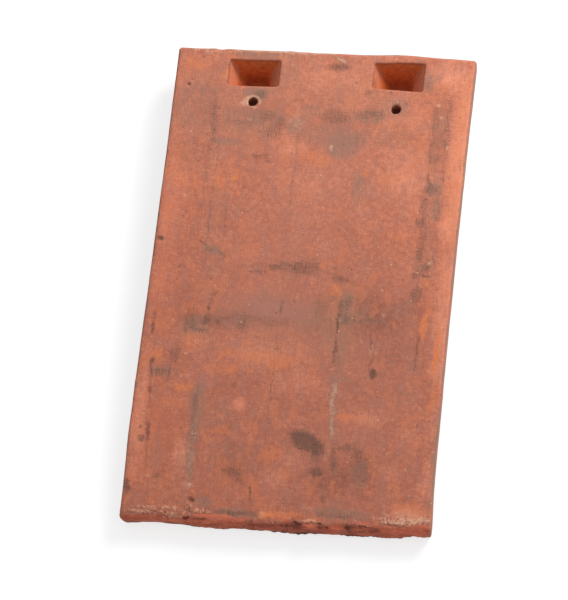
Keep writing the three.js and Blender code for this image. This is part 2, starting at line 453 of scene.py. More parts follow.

# %% [markdown]
# ## The torn tail
#
# The slab was cut to length with a wire while it was soft, and the wire dragged the clay of the tail's
# face into rolls and folds. Noise gives it a general roughness. The rolls, folds, cracks and scars that
# catch the eye are given one by one: x, distance down from the arris, half width, half height, turn in
# degrees, and how far each one stands out, in mm.

# %% Rolls and folds
tail_strokes = [
    (-72, 1.0, 9, 1.6, 0, 0.30),
    (-66, 7.5, 10, 2.6, 4, 0.45),
    (-52, 5.0, 3, 2.4, 0, 0.35),
    (-47.6, 6.0, 2.0, 1.8, -20, -1.5),
    (-34, 1.8, 13, 2.0, -3, 0.55),
    (-37, 5.8, 8, 1.3, -2, -1.2),
    (-33, 9.6, 15, 2.4, 0, 0.60),
    (-16, 7.0, 1.0, 5.0, 12, -0.5),
    (-11.2, 5.5, 0.9, 6.5, 18, -0.6),
    (-4, 7.5, 6, 2.8, 0, 0.5),
    (6, 8.6, 2.2, 1.8, 0, -0.9),
    (12.6, 3.8, 3.2, 2.4, 0, -0.7),
    (19, 1.6, 5.5, 1.2, 0, 0.5),
    (24.5, 2.4, 1.3, 1.1, 0, -0.9),
    (22, 8.2, 7, 1.4, -4, -0.5),
    (32, 6.2, 6, 3.6, 0, 0.7),
    (39.4, 5.0, 2.0, 4.0, -14, -0.5),
    (47.5, 4.4, 5.5, 0.8, -2, -0.9),
    (47, 7.6, 5.5, 2.2, 0, 0.55),
    (58, 9.5, 6, 1.8, 0, 0.45),
    (65, 5.0, 12, 1.0, -2, -0.35),
    (74, 8.0, 8, 2.0, 0, 0.3),
]
near_tail_arris = smooth_step(-points[:, 1], 127, 130.5) * (1 - smooth_step(depth, 3, 5))
torn = 0.65 * clay_noise((11, 6, 2.2), seed=7, octaves=3)
torn += 0.40 * clay_noise((3.6, 3.0, 1.5), seed=13, octaves=3)
folds = 0.45 - np.abs(clay_noise((16, 5, 3.2), seed=8))
torn -= 1.6 * np.maximum(0, folds - 0.30)
for x, down, half_x, half_down, turn, out in tail_strokes:
    reach = ellipse_reach(points[:, 0] - x, depth - down, half_x, half_down, turn)
    torn += out * (1 - smooth_step(reach, 0.2, 1.3))
torn *= 0.35 + 0.65 * smooth_step(points[:, 0], -56, -36)  # the wire left the left end smoother
lower_rim = (points[:, 1] < tail_y / mm + 5) * smooth_step(depth, 9.5, 12)
lower_rim = lower_rim * smooth_step(points[:, 0], -22, 8)
relief += torn * tail + 0.5 * clay_noise(2.4, seed=15, octaves=3) * lower_rim
relief += 0.22 * clay_noise((2.0, 1.6, 1.6), seed=16, octaves=2) * near_tail_arris
print(len(tail_strokes), "rolls, folds and scars, relief to", round(relief.max(), 2), "mm")

# %% Pits
pit_count = 60
pit_span_x, pit_span_y = 80, 128
random_pits = random.Random(11)
# place in mm (x, y), radius, depth: pits that are large enough to notice, and two lumps
large_pits = [
    (-74.0, 109.5, 1.3, 0.6),
    (-72.0, 112.5, 0.9, 0.4),
    (-44.5, -121.5, 1.6, 1.0),
    (44.5, -48.0, 2.4, 0.35),
    (-79.0, 19.0, 1.6, 0.5),
    (68.0, 15.0, 1.3, 0.5),
    (42.5, -34.5, 1.0, 0.5),
    (-75.0, -91.0, 1.7, 0.35),
    (-6.0, -127.2, 2.6, -0.7),
    (-2.2, -127.0, 1.8, -0.4),
    (-45.4, -128.0, 2.2, 0.5),
    (13.0, -129.0, 2.2, 0.4),
    (39.8, -128.6, 1.8, 0.3),
]


def press_pit(x, y, radius, pit_depth):
    """Pushes a round hollow with a soft rim into the weather face."""
    share = np.hypot(points[:, 0] - x, points[:, 1] - y) / radius
    near = share < 1.4
    relief[near] -= (pit_depth * (1 - smooth_step(share, 0.2, 1.4)) * (1 - under))[near]


for pit in large_pits:
    press_pit(*pit)
for _ in range(pit_count):
    x, y = random_pits.uniform(-pit_span_x, pit_span_x), random_pits.uniform(-pit_span_y, pit_span_y)
    radius = random_pits.uniform(0.5, 1.0)
    press_pit(x, y, radius, radius * random_pits.uniform(0.1, 0.3))
print(len(large_pits) + pit_count, "pits")

# %% [markdown]
# ## Out of true
#
# A hand-set tile is never a perfect rectangle. This one is a little out of square, its sides are drawn in
# at the waist, its head is crowned, its tail bellies out, and the punch that pressed the nibs did not
# strike quite on its marks. Moving points in plan does all of it, so pocket, nib and hole each keep their
# shape.
#
# The tail is worn most at its upper arris, where water runs off and frost works. Short tables along x say
# how far its lower edge stands out and how far its upper arris is worn back.

# %% Move the points
slab_thickness, half_width, half_length = 13.0, 82.5, 132.5
out_of_square = 0.012  # mm along the tile for each mm across it
moved = points + normals * relief[:, None]
x, y = points[:, 0], points[:, 1]
x_share, y_share = x / half_width, y / half_length


def hump(value, middle, reach, flat=0.0):
    """1 round the middle, over the flat share of its reach, and falling smoothly to 0 at its ends."""
    return 1 - smooth_step(np.abs(value - middle) / reach, flat, 1)


def shift_around(place, reach, by_x, by_y):
    """Moves what lies within reach of a place, but not the tile's own head edge."""
    hold = 1 - smooth_step(np.hypot(x - place[0], y - place[1]) / reach, 0.62, 1.0)
    moved[:, 0] += by_x * hold
    moved[:, 1] += by_y * hold * (1 - smooth_step(y, 127.2, 131.5))


# the pockets and the nail holes sit a little off their marks
shift_around((-40, 118), 27, 1.5, -0.2)
shift_around((40, 118), 27, 0.8, 1.2)
shift_around((-39.5, 100), 9, 0.7, 1.5)
shift_around((39.5, 100), 9, 1.2, -0.2)
# the side walls of the pockets, and then the walls towards the tail and towards the head
for wall_x, step in ((-54, -0.8), (-26, 0.3), (27, -0.4), (54, 0.4)):
    moved[:, 0] += step * hump(x, wall_x, 9) * hump(y, 118, 16, flat=0.65)
moved[:, 1] += (0.1 - 0.038 * (x - 41)) * hump(x, 41, 20, flat=0.7) * hump(y, 111, 7)
moved[:, 1] += (0.16 + 0.02 * (x + 39)) * hump(x, -39, 20, flat=0.7) * hump(y, 110, 7)
moved[:, 1] -= (0.5 - 0.02 * (x + 39)) * hump(x, -39, 24, flat=0.6) * hump(y, 127, 8)
moved[:, 1] -= 0.9 * hump(x, 30, 22) * hump(y, 127, 7)
# the side walls lean in a little more with depth
for middle_x in (-39, 40):
    across = x - middle_x
    inwards = 1.2 * smooth_step(-across, 1, 9) - 2.8 * smooth_step(across, 1, 9)
    moved[:, 0] += inwards * pocket * np.clip(depth / 18, 0, 1) * hump(across, 0, 22, flat=0.8)
# the tile's own sides: a waist on the left and on the right, and corners that go their own way
left_half, right_half = np.clip(-x_share, 0, 1) ** 2, np.clip(x_share, 0, 1) ** 2
moved[:, 0] += 1.1 * left_half * (1 - (y_share - 0.35) ** 2)
moved[:, 0] -= 1.0 * right_half * (1 - 0.6 * (y_share - 0.1) ** 2)
moved[:, 0] += 1.2 * left_half * smooth_step(-y, 80, 122)
moved[:, 0] += 0.8 * right_half * smooth_step(-y, 100, 130)
moved[:, 0] -= 0.35 * left_half * smooth_step(y, 60, 110)
print("moved across by up to", round(float(np.abs(moved[:, 0] - x).max()), 2), "mm")

# %% Head and tail edges
# along x in mm: how far the edge stands out
head_edge = [(-82, 0.2), (-72, 0.0), (-64, 0.4), (-56, 0.8), (-40, 0.6), (-20, 0.8), (-8, 0.4), (20, 0.6),
             (40, 1.6), (52, 1.0), (64, 0.5), (76, 0.1), (82, 0.0)]
tail_edge = [(-82, 1.7), (-77, 1.3), (-71, 0.7), (-64, 0.2), (-50, 0.4), (-40, 1.3), (-28, 0.8), (-14, 0.8),
             (-4, 0.5), (8, 1.4), (24, 0.6), (40, 0.2), (54, 0.0), (63, 0.2), (72, -1.5), (82, -1.5)]
arris_wear = [(-82, 0.2), (-62, 0.4), (-50, 0.6), (-44, 1.0), (-30, 0.9), (-20, 0.6), (-10, 0.0),
              (-3, 0.3), (5, 1.8), (12, 2.2), (20, 1.1), (30, 1.1), (38, 1.6), (45, 2.0), (60, 1.1),
              (72, 0.4), (82, 0.0)]


def along_edge(table):
    """The numbers of a short table, run smoothly along x."""
    steps = np.arange(-90, 91, 2.0)
    values = np.interp(steps, *zip(*table))
    softened = np.convolve(np.pad(values, 1, "edge"), (0.25, 0.5, 0.25), "valid")
    return np.interp(x, steps, softened)


head_end, tail_end = smooth_step(y, 108, 132), smooth_step(-y, 108, 132)
worn_share = np.clip(1 - depth / slab_thickness, 0, 1) ** 1.3 * smooth_step(-y, 116, 131)
wobble = 0.5 * clay_noise((7, 40, 40), seed=14, octaves=3) * (1 - smooth_step(-x, 40, 60))
moved[:, 1] += along_edge(head_edge) * head_end
moved[:, 1] -= along_edge(tail_edge) * tail_end
moved[:, 1] += (along_edge(arris_wear) + wobble) * worn_share
moved[:, 1] += out_of_square * x
in_corner = smooth_step(np.abs(x), 79.5, 82.5) * smooth_step(np.abs(y), 129.5, 132.5)
moved[:, :2] += 0.4 * np.sign(points[:, :2]) * (in_corner * (y > -100))[:, None]
print("moved", round(float(np.abs(moved - points).max()), 2), "mm at most")

# %% Round the nail holes again
# the voxels left them a little square, and no real one is quite upright
nail_hole_radius = 2.7
# in mm: where each hole is on top, and how far it leans on its way down
nail_hole_places = [((-37.1, 100.8), (-0.5, 0.6)), ((41.3, 101.2), (0.3, -0.8))]
for hole, (centre, lean) in zip(nail_holes, nail_hole_places):
    in_bore = (bore > 0) & (np.hypot(x - hole.x, y - hole.y) < nail_hole_reach)
    axis = np.array(centre) + np.outer(depth[in_bore] / slab_thickness, lean)
    spoke = moved[in_bore, :2] - axis
    moved[in_bore, :2] = axis + spoke * (nail_hole_radius / np.hypot(*spoke.T))[:, None]
    print("nail hole:", int(in_bore.sum()), "points round", centre)

tile.data.vertices.foreach_set("co", (moved * mm).astype(np.float32).ravel())
tile.data.update()

# %% [markdown]
# ## A lighter mesh
#
# The voxels left far more triangles than a tile needs. First the numbers of each place are written on the
# mesh, so that they go along with it. Then Decimate thins it in two turns: a vertex group keeps the first
# one to the underside and the sides, which carry few marks, and the second one works everywhere. Thinning
# can push a point a hair below the floor, and such points are set on it again.

# %% Write the attributes
def write_attribute(name, values):
    """Keeps one number for each point of the mesh under that name."""
    attribute = tile.data.attributes.new(name, "FLOAT", "POINT")
    attribute.data.foreach_set("value", values.astype(np.float32))


places = {
    "under": under,
    "pocket": np.maximum(pocket_clay, bore),
    "wall": pocket,
    "tail": tail,
    "side": side,
    "depth": depth,
    "crevice": np.clip(-torn, 0, 1) * tail,
    "ridge": np.clip(torn, 0, 1) * tail,
}
for name, values in places.items():
    write_attribute(name, values)
print("attributes:", ", ".join(places))

# %% Thin the mesh
triangle_budget = 190_000
coarse_triangles = 48_000  # left on the underside and the sides by the first turn


def triangle_count():
    """How many triangles the tile would have."""
    return sum(len(face.vertices) - 2 for face in tile.data.polygons)


def thin_to(triangles, group=""):
    """Collapses edges until that many triangles are left, inside the vertex group if one is named."""
    thin = tile.modifiers.new("thin_flat_parts", "DECIMATE")
    thin.ratio = triangles / triangle_count()
    thin.use_collapse_triangulate = True
    thin.vertex_group = group
    thin.vertex_group_factor = 1.0
    bake_modifiers(tile)
    print("thinned to", len(tile.data.polygons), "triangles")


plain = (under > 0.5) | (side > 0.5)
plain_triangles = 2 * int(plain.sum())
tile.vertex_groups.new(name="plain").add(np.flatnonzero(plain).tolist(), 1.0, "REPLACE")
thin_to(triangle_count() - plain_triangles + coarse_triangles, group="plain")
tile.vertex_groups.clear()
thin_to(triangle_budget)
tile.data.shade_smooth()

# %% Stand on the floor
settled = read_vectors(tile.data.vertices, "co")
print("lowest point before:", round(settled[:, 2].min() / mm, 2), "mm")
settled[:, 2] = np.maximum(settled[:, 2], 0)
tile.data.vertices.foreach_set("co", settled.astype(np.float32).ravel())
tile.data.update()

# %% [markdown]
# ## Marks of a long life on a roof
#
# Soot, lichen, lime and worn patches lie where the weather put them, so they are put down one by one. A
# node for each of more than four hundred marks would make every ray of the render slow. The mesh is fine
# enough to carry them instead: each kind of mark becomes one attribute, and the material reads it. A mark
# is an ellipse that fades towards its rim, quickly for a stain and slowly for a change of the clay
# itself. The coordinates wander a little, so that no rim is drawn with a compass, and the material later
# breaks the rims up with finer noise.
#
# Each mark is given as x, y, half width, half length and strength, in mm from the middle. One that lies
# at an angle also has its turn, in degrees. The plan is the same for both faces of the tile, so each list
# says which face it belongs to. The underside has been out of the weather: a few smears of bedding
# mortar, some damp patches, and little else.

# %% Brush
mark_reach = 1.4  # a mark fades out at this many times its half size
brush_wander = 1.2  # mm
wander_seed = 1  # without a seed, Blender's noise vectors differ from run to run
brush_slope = (0.17, -0.34)  # mm in x and y for each mm down, so that marks lie well on the tail's face too
coarse_wander, fine_wander = 6, 1.6  # mm, the sizes of the brush's trembling
skin_points = read_vectors(tile.data.vertices, "co") / mm
skin_depth, skin_under = np.empty((2, len(skin_points)), np.float32)
tile.data.attributes["depth"].data.foreach_get("value", skin_depth)
tile.data.attributes["under"].data.foreach_get("value", skin_under)
noise.seed_set(wander_seed)
wander = np.array([noise.noise_vector(place) for place in (skin_points / coarse_wander).tolist()])
wander += 0.5 * np.array([noise.noise_vector(place) for place in (skin_points / fine_wander).tolist()])
brush_x = skin_points[:, 0] + brush_slope[0] * skin_depth + brush_wander * wander[:, 0]
brush_y = skin_points[:, 1] + brush_slope[1] * skin_depth + brush_wander * wander[:, 1]
print("the brush can reach", len(skin_points), "points")


def strongest(marks, fade):
    """The strongest of those marks at each point; each fades over that share of its size."""
    laid = np.zeros(len(skin_points))
    for x, y, half_x, half_y, strength, *turn in marks:
        reach = ellipse_reach(brush_x - x, brush_y - y, half_x, half_y, turn[0] if turn else 0)
        laid = np.maximum(laid, strength * np.clip((mark_reach - reach) / fade, 0, 1))
    return laid


def lay_marks(name, marks, below=(), fade=0.75):
    """All the marks of one kind in one attribute, those of the weather face and those of the underside."""
    write_attribute(name, strongest(marks, fade) * (1 - skin_under) + strongest(below, fade) * skin_under)
    print(len(marks) + len(below), name, "marks")


# %% Lighter clay
slow_fade = 1.4  # the clay's own changes of colour have no rim at all
light_marks = [
    (79, 70, 7, 62, 0.75), (79, -20, 6.5, 70, 0.65), (79, -100, 6, 24, 0.5), (52, 92, 30, 22, 0.22),
    (50, 62, 30, 26, 0.35), (5, 118, 22, 10, 0.35), (68, 120, 12, 10, 0.4), (-72, 118, 12, 12, 0.2),
    (-14, 74, 10, 10, 0.4), (0, 55, 50, 22, 0.25), (-74, 38, 8, 36, 0.4), (-74, -2, 9, 20, 0.3),
    (-77, -78, 6, 40, 0.65), (-77, -106, 7, 14, 0.5), (70, 122, 16, 11, 0.65), (60, 100, 12, 14, 0.15),
    (-25, -69, 4, 3.5, 0.8), (-16, -42, 28, 10, 0.5), (3, -54, 22, 8, 0.4), (-53, -98, 6, 12, 0.7),
    (8, -98, 10, 5, 0.4), (-2, -108, 9, 8, 0.4), (42, -72, 14, 6, 0.55), (66, -84, 16, 10, 0.35),
    (60, -98, 8, 8, 0.3), (-46.5, -114, 4, 2.5, 0.35), (72, -120, 13, 5, 0.8), (76, 36, 5, 14, 0.9),
    (-72, -109, 9, 10, 0.4), (75, 118, 7, 10, 0.35),
]
lay_marks("light", light_marks, fade=slow_fade)

# %% Darker clay
dark_marks = [
    (38, -17, 30, 17, 0.75), (16, -24, 20, 9, 0.45), (58, -34, 14, 12, 0.4), (-38, -24, 18, 8, 0.45),
    (-14, -18, 26, 10, 0.5), (-56, -22, 8, 8, 0.5), (34, -104, 22, 13, 0.5), (-24, -98, 12, 14, 0.35),
    (-62, -50, 8, 8, 0.3), (-66, -98, 6, 14, 0.25), (-34, 94, 18, 12, 0.4), (-62, 96, 10, 12, 0.3),
    (14, 92, 16, 9, 0.3), (66, 84, 5, 30, 0.35), (40, -56, 24, 16, 0.2), (42, -33, 11, 8, 0.35),
    (50, 5, 14, 10, 0.25), (46, 86, 10, 5, 0.3), (46, -34, 20, 16, 0.3), (76, -58, 6, 16, 0.4),
]
lay_marks("dark", dark_marks, fade=slow_fade)

# %% Rosier clay
rosy_marks = [
    (-14, -16, 30, 13, 0.9), (-6, 10, 45, 90, 0.35), (12, 76, 20, 22, 0.5), (30, -84, 50, 24, 0.3),
    (-40, 100, 14, 12, 0.3), (42, -40, 34, 70, 0.3),
]
lay_marks("rosy", rosy_marks, fade=slow_fade)

# %% Ruddier clay
ruddy_marks = [
    (-74, 30, 13, 95, 0.5), (-68, -88, 18, 36, 0.65), (-70, 112, 14, 16, 0.4), (76, 20, 8, 80, 0.35),
    (-20, 24, 22, 12, 0.35), (-20, -116, 30, 12, 0.4),
]
lay_marks("ruddy", ruddy_marks, fade=slow_fade)

# %% Dustier clay
dusty_marks = [
    (-30, 112, 32, 20, 0.6), (18, 112, 34, 22, 0.55), (-40, 84, 18, 16, 0.6), (40, 88, 20, 14, 0.4),
    (24, -22, 16, 26, 0.9), (-54, -32, 8, 8, 0.9), (-8, -30, 24, 12, 0.4),
]
lay_marks("dusty", dusty_marks, fade=slow_fade)

# %% Orange bloom
orange_marks = [
    (76.6, -32, 1.3, 13, 1.2), (77.2, -56, 1.2, 13, 0.5), (68.4, -19.8, 2.4, 6, 1), (77.5, 70, 5, 55, 0.35),
    (67, 4, 4, 3.6, 0.45), (70, -12, 1.5, 8, 0.5), (7, -126, 9, 1.8, 0.7), (19, -3.5, 3, 3, 0.6),
    (13, 9.5, 2.5, 2.5, 0.4), (-54, -37, 5.5, 5.5, 0.5), (-55, -17, 4.5, 4, 0.4), (-71.5, -45, 3, 4, 0.7),
    (-34, -40.5, 3, 1.8, 0.6), (-32, -50.5, 3.5, 2.6, 0.6), (-20, -50, 2, 1.6, 0.6), (-6, -45, 8, 4, 0.5),
    (-55, -62, 6, 2, 0.7), (-50, 53, 4, 4, 0.6), (-41.5, 56, 2, 2, 0.9), (-38.5, 47, 1.5, 1.5, 0.9),
    (-49, 34, 1.5, 5, 0.6), (-71, 122, 7, 5, 0.5), (-52, 127, 4, 3, 0.5), (3, 70, 8, 4, 0.5),
    (29, 63, 2, 2, 0.7), (48, 90, 10, 5, 0.25), (-45, -85, 10, 2.5, 0.4), (-35, -84, 8, 2, 0.5),
    (-63, -70, 5, 2.5, 0.5), (31, -71, 4, 2, 0.6), (72, -118, 12, 3.5, 0.45), (-3, -94, 7, 4, 0.5),
    (55, 25, 14, 10, 0.25), (-70, 58, 10, 12, 0.3), (-5.8, -127.3, 2.2, 1.8, 1.8),
    (-2, -127, 1.8, 1.2, 1.3), (-57, -19, 5, 4, 0.45), (-33, -42, 8, 2.5, 0.5), (-34, -51, 10, 2, 0.5),
    (-18, -43, 9, 4, 0.5), (36, -71.5, 10, 1, 0.6), (-60, -112, 8, 5, 0.3), (-47, 54, 8, 6, 0.35),
    (-77, 45, 3, 18, 0.2), (5, 69, 6, 4, 0.4), (58, 100, 12, 20, 0.25), (-66, -100, 5, 14, 0.35),
]
orange_below = [
    (-48, -20, 22, 30, 0.35, 15), (40, 46, 18, 26, 0.35, -10), (6, -92, 30, 12, 0.3),
]
lay_marks("orange", orange_marks, orange_below)

# %% Grey film
film_marks = [
    (25, -58, 2.3, 10, 1), (26, -76, 1.6, 11, 0.8), (26.5, -13, 3.2, 9, 1), (33, -16.5, 6, 3, 0.5),
    (26, 55, 4, 9, 0.8), (-47, -70, 4.4, 12, 0.9), (-47.5, -86, 2.6, 8, 0.9), (-47, -102, 2, 11, 1),
    (14.5, 80, 9, 8, 1.1), (9, 77, 3, 4, 0.8), (-10, 87, 5, 5, 0.8), (28, 96, 9, 4, 0.7),
    (41, 102, 8, 7, 0.6), (58, 118, 4, 6, 0.7), (61, 121, 4, 3, 0.6), (63, 58, 1.6, 5, 0.5),
    (67, 56, 4, 4, 0.8), (69, 45, 2, 8, 0.8), (66, 74, 5, 4, 0.5), (65, 90, 4, 8, 0.5),
    (-35.5, 106, 7, 3.2, 1.1), (-30, 92, 13, 6, 0.6), (-45, 34, 1.2, 10, 0.4), (-49, 14.5, 6, 3, 0.8, -20),
    (-52, -27, 7, 5, 0.7), (-70, -54, 5, 3, 0.55), (-38, 129, 13, 2.6, 0.8), (7, 129, 5, 1.2, 1, -25),
    (-18, 124, 6, 8, 0.35), (35, -123, 15, 3, 0.9), (-20, -126.5, 12, 2, 0.9), (-38, -123, 5, 3, 0.7),
    (43, -100, 4, 5, 0.5), (-2, 97, 9, 5, 0.45), (12, -24, 16, 6, 0.3), (-65, 116, 6, 3, 0.45),
    # (51.6, 119.5) and (-26.6, 117.5) darken the right walls of the two pockets
    (62, -60, 5, 5, 0.3), (81, -95, 1.3, 28, 0.8), (-30, 130.2, 24, 1, 0.7), (51.6, 119.5, 2.6, 8, 0.6),
    (-26.6, 117.5, 2.6, 7.5, 0.5), (-68, 98, 14, 19, 0.5), (-42, 91, 12, 8, 0.55), (-50, 77, 9, 2.4, 0.8),
    (-12, 88, 4, 7, 0.7, -30), (-28, 86, 9, 6, 0.5), (40, 84, 13, 6, 0.3), (-68, 70, 8, 9, 0.3),
    (2, 86, 16, 8, 0.4), (24, 84, 4, 6, 0.4), (36, 54, 6, 6, 0.3), (-80.8, 90, 1, 20, 0.5),
    (-48.5, 30, 3.6, 9, 0.35), (-47, 6, 5, 5, 0.35), (-35, -25, 11, 5, 0.4), (8, -19, 10, 6, 0.45),
    (40, -18.5, 9, 1.2, 0.5), (26, -36, 3, 10, 0.5), (54, -13, 8, 4, 0.35), (44, -106, 4, 2.5, 0.5),
    (64, -57, 8, 8, 0.3), (-66, -100, 4, 14, 0.4), (-25, -94, 9, 6, 0.35), (28, -51.5, 5, 0.9, 0.8),
    (65.5, 84, 5, 22, 0.35), (66, 46, 5, 12, 0.35), (-66, -54, 7, 3, 0.4), (-36, -76, 7, 8, 0.3),
    (-54, 78, 3.5, 26, 0.3), (-35, 90, 17, 9, 0.5), (6, 92, 12, 7, 0.35), (-51, 30, 4, 26, 0.3),
    (-50, -8, 4, 14, 0.25), (66, 20, 5, 20, 0.3), (66.5, 96, 5, 10, 0.4), (25, -34, 4, 8, 0.4),
]
film_below = [
    (0, -112, 84, 9, 0.7), (-74, 0, 6, 120, 0.5), (75, 10, 5, 110, 0.5), (30, -40, 26, 14, 0.4, 20),
]
lay_marks("film", film_marks, film_below)

# %% Soot
soot_marks = [
    (13.4, -86.6, 9.4, 4.6, 0.98, -22), (19.5, -90, 4, 4.6, 0.8), (19.5, -94, 3, 4, 0.5),
    (20, -102.5, 4.4, 2.8, 0.62), (28, -94, 2.2, 8, 0.5), (37, -89, 5, 3, 0.45, -15),
    (44, -97, 4.5, 8, 0.35), (45, -102, 3.6, 3.6, 0.35), (24.5, -109.5, 2, 3, 0.35),
    (26, -116.5, 1.4, 2.6, 0.5), (44.4, -47.8, 1.7, 2.7, 1.4), (1, 7.5, 9.5, 3.4, 0.5, -4),
    (-7, 7.4, 14, 2.8, 0.4), (-14.5, 7.2, 3.2, 2.2, 0.55), (-23, 4.5, 8, 0.8, 0.4, 3),
    (20, 3, 4.5, 2.6, 0.42, -15), (17.5, 8.5, 2, 1.2, 0.35), (7.5, 124.5, 6.5, 2.3, 0.6, 5),
    (-48, -24.5, 3.6, 2, 0.55, 10), (-55, -27, 3, 4.5, 0.38), (-46, -15, 0.8, 7, 0.5, -6),
    (-44, -9.5, 0.9, 2, 0.5, -30), (-46.5, -22, 0.9, 4, 0.35), (-41.3, -25.5, 1.8, 1.6, 0.6, 30),
    (-33, -21.5, 5.5, 2.4, 0.3), (-28, -26, 2.6, 3.6, 0.42), (-14, -23, 13, 3, 0.3), (-8, -15, 1, 6, 0.35),
    (-7.8, -37.5, 1.2, 1.8, 0.4), (13, -14, 4, 5, 0.25), (24, -14, 1.4, 8, 0.4), (27, -10, 2, 4, 0.4),
    (26, -19, 3.4, 3.4, 0.4), (23.5, -35, 1, 2, 0.7, 25), (24, -42, 2, 4, 0.35),
    (62.5, 62.5, 1.3, 3.6, 0.5, 8), (65.5, 56.5, 4, 3, 0.45, -12), (62, 47, 2.4, 7, 0.45),
    (69.5, 47, 1.4, 8, 0.22), (61.5, 37.2, 2.6, 2.6, 0.5), (62.5, 29.5, 2, 3.2, 0.35),
    (62.5, 20, 2.4, 3.4, 0.55), (66.5, 12.8, 2.6, 3.2, 0.6, -20), (67.5, 8, 4, 0.8, 0.6, -8),
    (61.5, 7.5, 1.8, 2, 0.55), (70.5, 16, 0.8, 3, 0.4, 20), (62.5, -3.5, 3, 5, 0.5),
    (66.5, -27, 1, 3.6, 0.45, 5), (70.2, -16.5, 0.8, 1.4, 0.5), (70, -41, 1.2, 1.6, 0.25),
    (65, 74, 4.4, 2.8, 0.35), (63.5, 84, 2.2, 5, 0.3), (70, 88, 2.4, 10, 0.35), (63.5, 98, 2.4, 7, 0.35),
    (70, 102, 1.8, 8, 0.25), (9, 94.8, 8, 4.2, 0.42), (28, 97.4, 9, 2.8, 0.4), (23.5, 82.5, 4, 3, 0.2),
    (24.5, 109.5, 2.6, 2, 0.4), (58.5, 115, 2.6, 2.4, 0.35), (-57.4, 97.5, 1.6, 2.6, 0.45),
    (-57, 88, 2, 9, 0.42), (-57, 83.5, 1.6, 2, 0.5), (-55.5, 77, 3, 1.4, 0.38, 10),
    (-20.5, 88.5, 3, 5, 0.42, -25), (-34, 105.5, 3.4, 1.6, 0.45), (-29, 69, 5, 2, 0.35),
    (-53, 31, 0.7, 10, 0.2), (-44.2, 30, 0.7, 10, 0.4), (-50, 15, 2.6, 2, 0.42),
    (-55, 18.2, 2.2, 0.9, 0.35, -15), (-43.5, 12.5, 2.4, 0.8, 0.3, -25), (-78.5, 19, 2, 1.2, 1),
    (-80, 10, 0.9, 8, 0.25), (-64.5, 3.6, 1.2, 1.2, 0.35), (-42, 1.6, 1, 1.2, 0.4),
    (-75.6, -24, 1.3, 2.4, 0.5), (-76, -31, 0.7, 4, 0.6), (-74, -49.5, 0.9, 2, 0.45),
    (-73.8, -56, 1.2, 4, 0.6), (-73.2, -64.5, 1.1, 2.4, 0.5, 5), (-72.8, -72, 0.8, 4.5, 0.4, 3),
    (-71.3, -87, 1.2, 4.6, 0.5, 3), (-70.8, -102, 0.8, 9, 0.3, 2), (-69, -54, 4, 2.4, 0.4),
    (-62, -44, 2.6, 4.6, 0.35), (-64, -56, 0.9, 4.4, 0.4), (-75, -91, 2, 2.6, 0.55),
    (-75.5, -85.5, 1.2, 0.9, 0.6), (-79.4, -117, 1.8, 4.8, 0.7, 14), (-64, -110.5, 2.6, 1, 0.45, 20),
    (-60.5, -108, 1.6, 1, 0.5, 20), (-25, -105, 5.5, 2.2, 0.5, -8), (-20, -109, 3.6, 2.4, 0.3, -20),
    (-13.6, -117, 0.6, 7, 0.7), (-44.5, -121.5, 1.6, 1.1, 0.65, -20), (-45.4, -127.5, 1.6, 3.2, 0.45),
    (-29.5, -58.5, 1.6, 1.4, 0.35), (-49, -73, 1, 9, 0.3), (-36, -75, 1, 12, 0.2),
    (-20, -127, 12, 1.2, 0.6), (28, -124, 6, 1.4, 0.3), (37, -124.5, 5, 1.6, 0.45),
    (-12.5, -126.5, 3, 2, 0.5), (-74, 109.4, 1.1, 0.9, 0.8), (-72, 112.4, 0.7, 0.7, 0.7),
    # (-52.3, 118) and (27.2, 119) are thin dark lines that only darken the left arrises of the two pockets
    (66, -127.6, 10, 0.35, 0.5), (-52.3, 118, 0.4, 8, 0.7), (27.2, 119, 0.4, 8, 0.5), (5.5, 8.3, 5, 4, 0.5),
    (22.6, -20, 0.6, 7, 1), (22.8, -37, 0.7, 10, 0.6), (34, -18.5, 12, 0.7, 0.45),
    (41.5, -30, 0.6, 8, 0.6, 6), (43, -41, 0.6, 6, 0.6, -15), (66, -36, 0.6, 9, 0.6),
    (-8.5, -65, 0.5, 24, 0.45), (-13, -82, 0.5, 8, 0.4), (-38, -22, 6, 1, 0.25), (-27, -24, 3.5, 5, 0.35),
    (62.2, 84, 0.7, 17, 0.4), (70.2, 86, 0.6, 16, 0.35), (64, 60, 1, 5, 0.5, 15),
    (-33.5, 105.5, 4, 2.6, 0.45), (-28, 93, 5, 3, 0.35), (-25, 84, 5, 3.6, 0.35), (-40, 89, 7, 2, 0.3),
    (-51.5, -30, 5, 0.9, 0.5), (-58, -27, 0.8, 5, 0.4), (35, -89, 9, 1.4, 0.45), (42, -92, 4, 2.5, 0.45),
    (-23, 4.2, 7, 0.5, 0.5), (26, 2, 5, 1.2, 0.4, -25), (-66, 75, 4, 3, 0.25),
    (-28, 70, 4.5, 1.3, 0.45, 10), (-25, 66.8, 3, 0.9, 0.35), (-30.6, 67, 1, 2.5, 0.35),
    (-72.5, -80, 0.6, 36, 0.3, 2), (-10, 66, 0.5, 62, 0.28), (-26.5, 118, 0.4, 10, 0.3),
    (-20, 118, 0.4, 8, 0.3), (-53.2, 30, 0.5, 11, 0.35), (66, -20, 0.6, 6, 0.4), (-47.3, -87, 2.2, 8, 0.4),
    # (28.2, 115.5) is painted shadow: a short dark line at the left edge of the right pocket
    (-48.3, -72, 1.6, 10, 0.35), (28.2, 115.5, 1.2, 3, 0.7), (-52.3, 4, 0.5, 16, 0.3),
    (63, 26, 2.4, 16, 0.36), (-57.6, 62, 0.5, 40, 0.3), (-52.6, 40, 0.5, 36, 0.3),
    (-44.6, 58, 0.5, 14, 0.25), (62.4, 40, 0.6, 24, 0.35), (70.4, 58, 0.6, 20, 0.3),
]
soot_below = [
    (-30, -119, 16, 3, 0.4, 2), (52, -116, 12, 4, 0.35), (-40, 94, 5, 12, 0.35, 5),
    (41, 92, 4, 14, 0.35, -4),
]
lay_marks("soot", soot_marks, soot_below)

